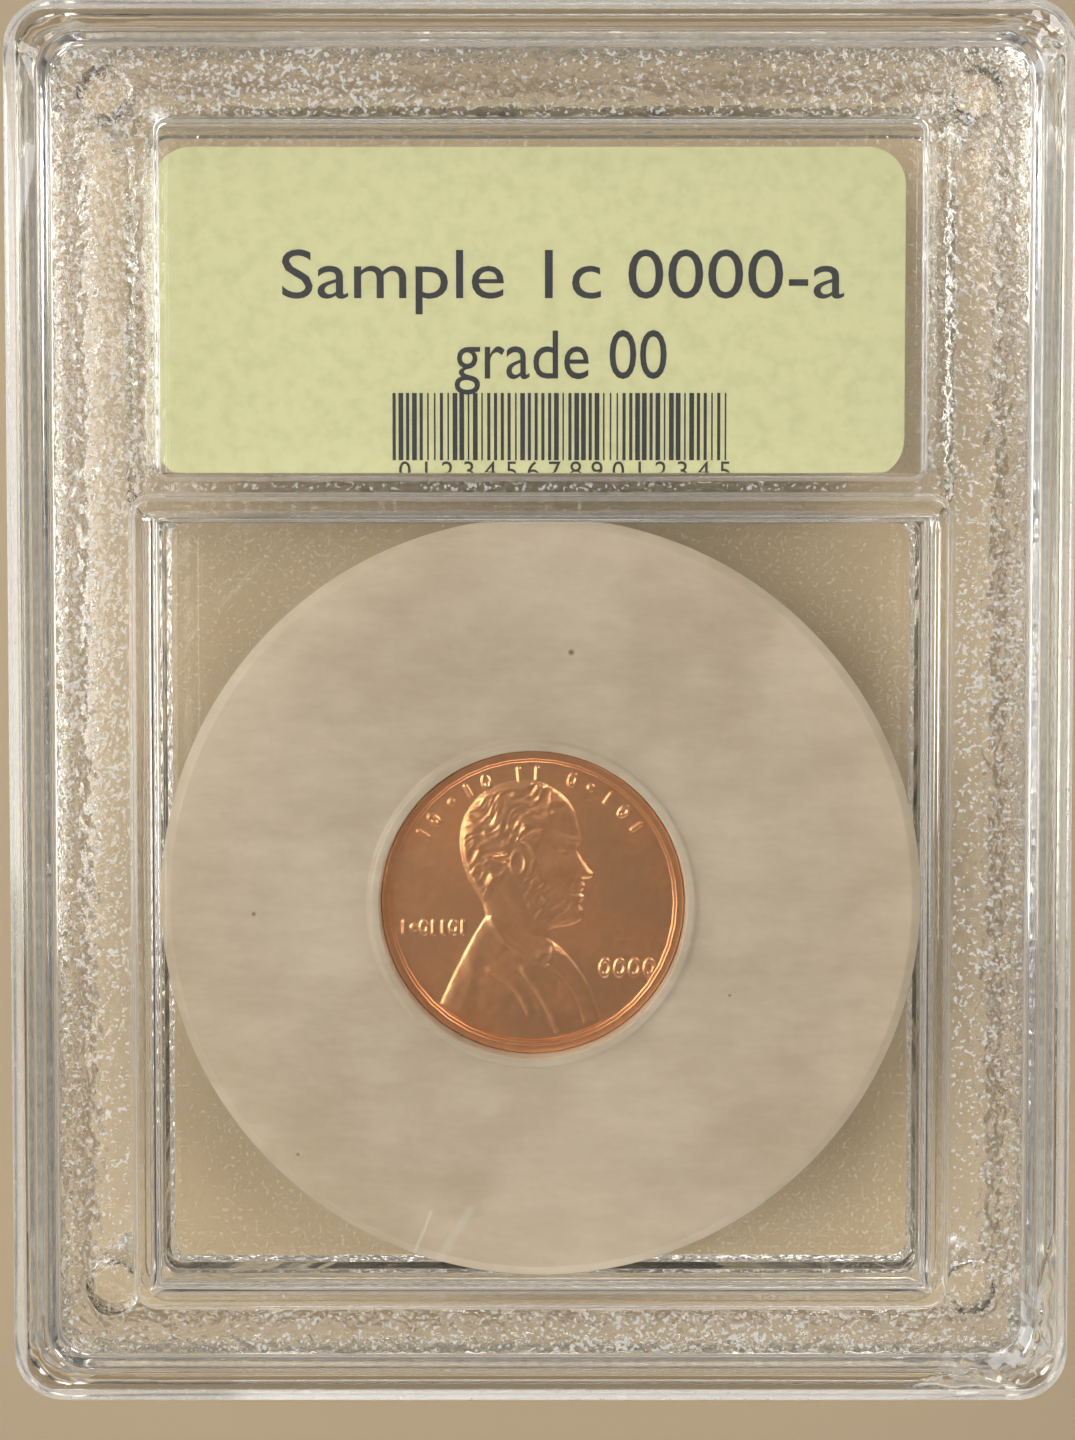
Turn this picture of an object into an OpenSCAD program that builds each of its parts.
// Sealed display capsule for one coin: two clear shells that close on locating pins, a soft
// round insert with the coin in its bore, and a printed card in a pocket above them.
// The capsule lies on its back. +Z points out of the front face, +Y points to the card's end,
// and the origin is the middle of the back rim's plane.

/* [Case] */
// Width of the closed case
case_w = 64.5; // [64.5:0.5:68]
// Length of the closed case
case_l = 85; // [85:0.5:90]
// Thickness of the closed case, over both stacking rims
case_t = 8.4; // [8.2:0.1:9]
// Outer corner radius of the case
corner_r = 3; // [2.8:0.1:3.6]
// Thickness of the front and back panels
panel_t = 1.7; // [1.5:0.1:1.8]
// Thickness of the side walls
wall_t = 1.9; // [1.8:0.1:2.1]
// Bevel round the outer edges of the case
edge_bevel = 0.6; // [0.4:0.1:0.8]

/* [Stacking rims] */
// Width of the raised rim round each face
rim_w = 2.15; // [1.8:0.05:2.3]
// Height of the raised rim above its panel
rim_h = 0.8; // [0.6:0.1:0.9]
// Width of the slope from the rim down to the panel
rim_slope = 0.6; // [0.4:0.1:0.8]

/* [Coin window] */
// Distance from the middle of the case down to the middle of the coin
window_drop = 12; // [11.9:0.1:12.2]
// Outer side of the square bead round the coin window
bead_side = 50; // [49.6:0.1:50.4]
// Width of that bead
bead_w = 1.8; // [1.5:0.1:2]
// Height of that bead above the front panel
bead_h = 0.5; // [0.3:0.1:0.6]
// Outer corner radius of that bead
bead_r = 1.5; // [1.2:0.1:2]

/* [Card window] */
// Depth of the clear window sunk into the front panel over the card
card_window_depth = 0.25; // [0.1:0.05:0.3]
// Width of the sloping edge round that window
card_window_slope = 0.3; // [0.2:0.05:0.4]

/* [Insert and coin] */
// Diameter of the soft insert
insert_d = 47.7; // [47.2:0.1:47.8]
// How far the insert's bore lies to the left of the insert's middle
bore_shift = 0.5; // [0:0.05:0.6]
// How far the insert's bore lies below the insert's middle
bore_drop = 0.3; // [0:0.05:0.6]
// Diameter of the coin
coin_d = 19.05; // [17.9:0.05:24.3]
// Thickness of the coin over its rims
coin_t = 1.52; // [1.35:0.01:1.75]
// Width of the coin's raised rim
coin_rim_w = 0.5; // [0.4:0.05:1]
// Height of the coin's rim above its field
coin_rim_h = 0.2; // [0.1:0.05:0.3]
// Width of the ledge under the coin's edge
ledge_w = 0.45; // [0.3:0.05:0.7]

/* [Card] */
// Width of the card
card_w = 47.1; // [46:0.1:47.3]
// Height of the card
card_l = 20.6; // [20:0.1:20.8]
// Thickness of the card
card_t = 0.35; // [0.25:0.05:0.5]
// Corner radius of the card
card_r = 2.4; // [2:0.1:3]
// How far the loose card has slid to the left in its pocket
card_shift = 0.7; // [0:0.1:0.7]

/* [Pins] */
// Diameter of the locating pins
pin_d = 2.6; // [2.4:0.1:2.8]
// Outer diameter of the socket bosses
boss_d = 3.6; // [3.4:0.1:4.4]
// Distance of the pins from the middle of the case, to each side
pin_x = 26.7; // [26.5:0.1:26.9]
// Distance of the upper pins above the middle of the case
pin_top_y = 37.5; // [37.3:0.1:37.7]
// Distance of the lower pins below the middle of the case
pin_low_y = 36.2; // [36:0.1:36.4]

/* [Fits] */
// Gap all round between parts that slide into each other
slip = 0.05; // [0.03:0.01:0.08]
// Gap all round between the insert and its well
well_gap = 0.1; // [0.1:0.05:0.2]

/* [Hidden] */
$fn = 64;
eps = 0.01;
clear_tint = [0.86, 0.86, 0.82, 0.35];

half_t = case_t / 2;
panel_z = rim_h;                      // outer face of a panel, from its shell's outer plane
floor_z = rim_h + panel_t;            // inner face of a panel
wall_h = half_t - floor_z;            // height of the inner walls up to the parting plane

coin_y = -window_drop;
well_side = insert_d + 2 * well_gap;
well_r = 1;
cell_wall = 1.1;

pocket_w = card_w + 1.8;
pocket_l = card_l + 0.9;
pocket_r = 1.2;
pocket_y = coin_y + well_side / 2 + 2.25 + pocket_l / 2;
card_y = pocket_y - 0.25;
card_window_w = 46.2;
card_window_l = 21.2;
card_window_r = 0.5;
card_window_y = 24.6;
ledge = 2.6;                          // width of the shelf that carries the card's margin

tongue_w = 0.6;
tongue_h = 0.6;
tongue_in = 0.65;                     // from the case's side to the tongue's outer face

socket_depth = 1.3;
pin_h = wall_h + socket_depth - 0.1;  // a pin stops 0.1 short of its socket's end
pin_tip = 0.25;

insert_t = case_t - 2 * floor_z - slip;
lip_h = 0.35;
lip_w = 0.5;
bore_r = coin_d / 2 + slip;
seat_z = (insert_t - coin_t) / 2;     // height of the coin's ledge above the well's floor
insert_bevel_w = 0.7;
insert_bevel_h = 0.45;

// Rectangle with round corners, centred on the origin
module round_rect(w, l, r) {
    square([w, l - 2 * r], center = true);
    square([w - 2 * r, l], center = true);
    for (x = [-1, 1], y = [-1, 1])
        translate([x * (w / 2 - r), y * (l / 2 - r)]) circle(r);
}

module plate(w, l, r, h) {
    linear_extrude(h) round_rect(w, l, r);
}

// Four-sided bar with sloping sides: w wide at its foot, w + 2 * flare at its top
module trapezoid_bar(w, length, h, flare) {
    rotate([90, 0, 0])
        translate([0, 0, -length / 2])
            linear_extrude(length)
                polygon([[-w / 2, 0], [w / 2, 0], [w / 2 + flare, h], [-w / 2 - flare, h]]);
}

// Plate whose sides and corners flare out, or in where flare is negative, from foot to top
module flared_plate(w, l, r, h, flare) {
    trapezoid_bar(w, l - 2 * r, h, flare);
    rotate([0, 0, 90]) trapezoid_bar(l, w - 2 * r, h, flare);
    for (x = [-1, 1], y = [-1, 1])
        translate([x * (w / 2 - r), y * (l / 2 - r), 0])
            cylinder(h = h, r1 = r, r2 = r + flare);
}

// Loop of wall between two round rectangles
module loop_2d(w, l, r, t) {
    difference() {
        round_rect(w, l, r);
        round_rect(w - 2 * t, l - 2 * t, r - t);
    }
}

module at_pins() {
    for (x = [-pin_x, pin_x]) {
        translate([x, pin_top_y, 0]) children();
        translate([x, -pin_low_y, 0]) children();
    }
}

// Inner walls of one shell: the square well and the card's pocket, open in the middle
module cell_walls_2d(pocket_open_w, pocket_open_l, pocket_open_r) {
    difference() {
        union() {
            translate([0, coin_y])
                round_rect(well_side + 2 * cell_wall, well_side + 2 * cell_wall, well_r + cell_wall);
            translate([0, pocket_y - 1])
                round_rect(pocket_w + 2 * cell_wall, pocket_l + 2 * cell_wall + 2, pocket_r + cell_wall);
        }
        translate([0, coin_y]) round_rect(well_side, well_side, well_r);
        translate([0, pocket_y]) round_rect(pocket_open_w, pocket_open_l, pocket_open_r);
    }
}

// Panel, rim and side walls that both shells share, with the outer face at z = 0
module half_case() {
    difference() {
        union() {
            flared_plate(case_w - 2 * edge_bevel, case_l - 2 * edge_bevel, corner_r - edge_bevel,
                edge_bevel, edge_bevel);
            translate([0, 0, edge_bevel]) plate(case_w, case_l, corner_r, half_t - edge_bevel);
        }
        // the face, sunk inside the rim
        translate([0, 0, rim_h])
            mirror([0, 0, 1])
                flared_plate(case_w - 2 * (rim_w + rim_slope), case_l - 2 * (rim_w + rim_slope),
                    corner_r - 1, rim_h, rim_slope);
        // the hollow behind the panel
        translate([0, 0, floor_z])
            plate(case_w - 2 * wall_t, case_l - 2 * wall_t, corner_r - 1, half_t);
    }
}

module rear_shell() {
    color(clear_tint) {
        half_case();
        translate([0, 0, floor_z - eps])
            linear_extrude(wall_h + eps)
                cell_walls_2d(pocket_w - 2 * ledge, pocket_l - 2 * ledge, pocket_r);
        translate([0, 0, half_t - eps])
            linear_extrude(tongue_h + eps)
                loop_2d(case_w - 2 * tongue_in, case_l - 2 * tongue_in, corner_r - tongue_in, tongue_w);
        at_pins() {
            translate([0, 0, floor_z - eps]) cylinder(h = wall_h + eps, d = boss_d);
            translate([0, 0, half_t - eps]) cylinder(h = pin_h - wall_h - pin_tip + eps, d = pin_d);
            translate([0, 0, floor_z + pin_h - pin_tip])
                cylinder(h = pin_tip, d1 = pin_d, d2 = pin_d - 2 * pin_tip);
        }
    }
}

module front_shell() {
    color(clear_tint)
        translate([0, 0, case_t])
            mirror([0, 0, 1]) {
                difference() {
                    union() {
                        half_case();
                        translate([0, 0, floor_z - eps])
                            linear_extrude(wall_h + eps)
                                cell_walls_2d(pocket_w, pocket_l, pocket_r);
                        at_pins() translate([0, 0, floor_z - eps]) cylinder(h = wall_h + eps, d = boss_d);
                    }
                    // groove for the rear shell's tongue
                    translate([0, 0, half_t - tongue_h - slip])
                        linear_extrude(tongue_h + 1)
                            loop_2d(case_w - 2 * (tongue_in - slip), case_l - 2 * (tongue_in - slip),
                                corner_r - tongue_in + slip, tongue_w + 2 * slip);
                    at_pins()
                        translate([0, 0, half_t - socket_depth])
                            cylinder(h = socket_depth + 1, d = pin_d + 2 * slip);
                    card_window();
                }
                window_bead();
            }
}

// Cut for the shallow window over the card
module card_window() {
    translate([0, card_window_y, panel_z + card_window_depth])
        mirror([0, 0, 1])
            flared_plate(card_window_w, card_window_l, card_window_r,
                card_window_depth + eps, card_window_slope);
}

// Raised bead round the coin window, on the front shell's outer face
module window_bead() {
    slope = bead_w / 4;
    inner = bead_side - 2 * bead_w;
    inner_r = bead_r / 2;
    translate([0, coin_y, panel_z + eps])
        mirror([0, 0, 1])
            difference() {
                flared_plate(bead_side, bead_side, bead_r, bead_h + eps, -slope);
                translate([0, 0, -eps])
                    flared_plate(inner, inner, inner_r, bead_h + 3 * eps, slope);
            }
}

// The bore, its ledge and the lip's inner bevel, as the solid that they take away
module bore() {
    over = 0.1;
    rotate_extrude($fn = 96)
        polygon([
            [0, -over],
            [bore_r - ledge_w, -over],
            [bore_r - ledge_w, seat_z],
            [bore_r, seat_z],
            [bore_r, insert_t - lip_h],
            [bore_r + (lip_h + over) / 2, insert_t + over],
            [0, insert_t + over]
        ]);
}

module insert_ring() {
    body_t = insert_t - lip_h;
    rim_r = insert_d / 2;
    off = [-bore_shift, -bore_drop, 0];
    color([0.76, 0.71, 0.62, 0.8])
        translate([0, coin_y, floor_z])
            difference() {
                union() {
                    rotate_extrude($fn = 96)
                        polygon([
                            [0, 0],
                            [rim_r, 0],
                            [rim_r, body_t - insert_bevel_h],
                            [rim_r - insert_bevel_w, body_t],
                            [0, body_t]
                        ]);
                    translate(off + [0, 0, body_t - lip_h])
                        cylinder(h = lip_h, r = bore_r + lip_w + lip_h / 2, $fn = 96);
                    translate(off + [0, 0, body_t])
                        cylinder(h = lip_h, r1 = bore_r + lip_w + lip_h / 2, r2 = bore_r + lip_w, $fn = 96);
                }
                translate(off) bore();
            }
}

module coin() {
    rim_r = coin_d / 2;
    soft = coin_rim_h / 2;            // rounding of the rim's edges, as a bevel
    field_r = rim_r - coin_rim_w;
    color([0.65, 0.40, 0.27])
        translate([-bore_shift, coin_y - bore_drop, floor_z + seat_z])
            rotate_extrude($fn = 96)
                polygon([
                    [0, coin_rim_h],
                    [field_r, coin_rim_h],
                    [field_r + coin_rim_h, 0],
                    [rim_r - soft, 0],
                    [rim_r, soft],
                    [rim_r, coin_t - soft],
                    [rim_r - soft, coin_t],
                    [field_r + coin_rim_h, coin_t],
                    [field_r, coin_t - coin_rim_h],
                    [0, coin_t - coin_rim_h]
                ]);
}

module label_card() {
    color([0.83, 0.82, 0.63])
        translate([-card_shift, card_y, half_t])
            plate(card_w, card_l, card_r, card_t);
}

rear_shell();
front_shell();
insert_ring();
coin();
label_card();
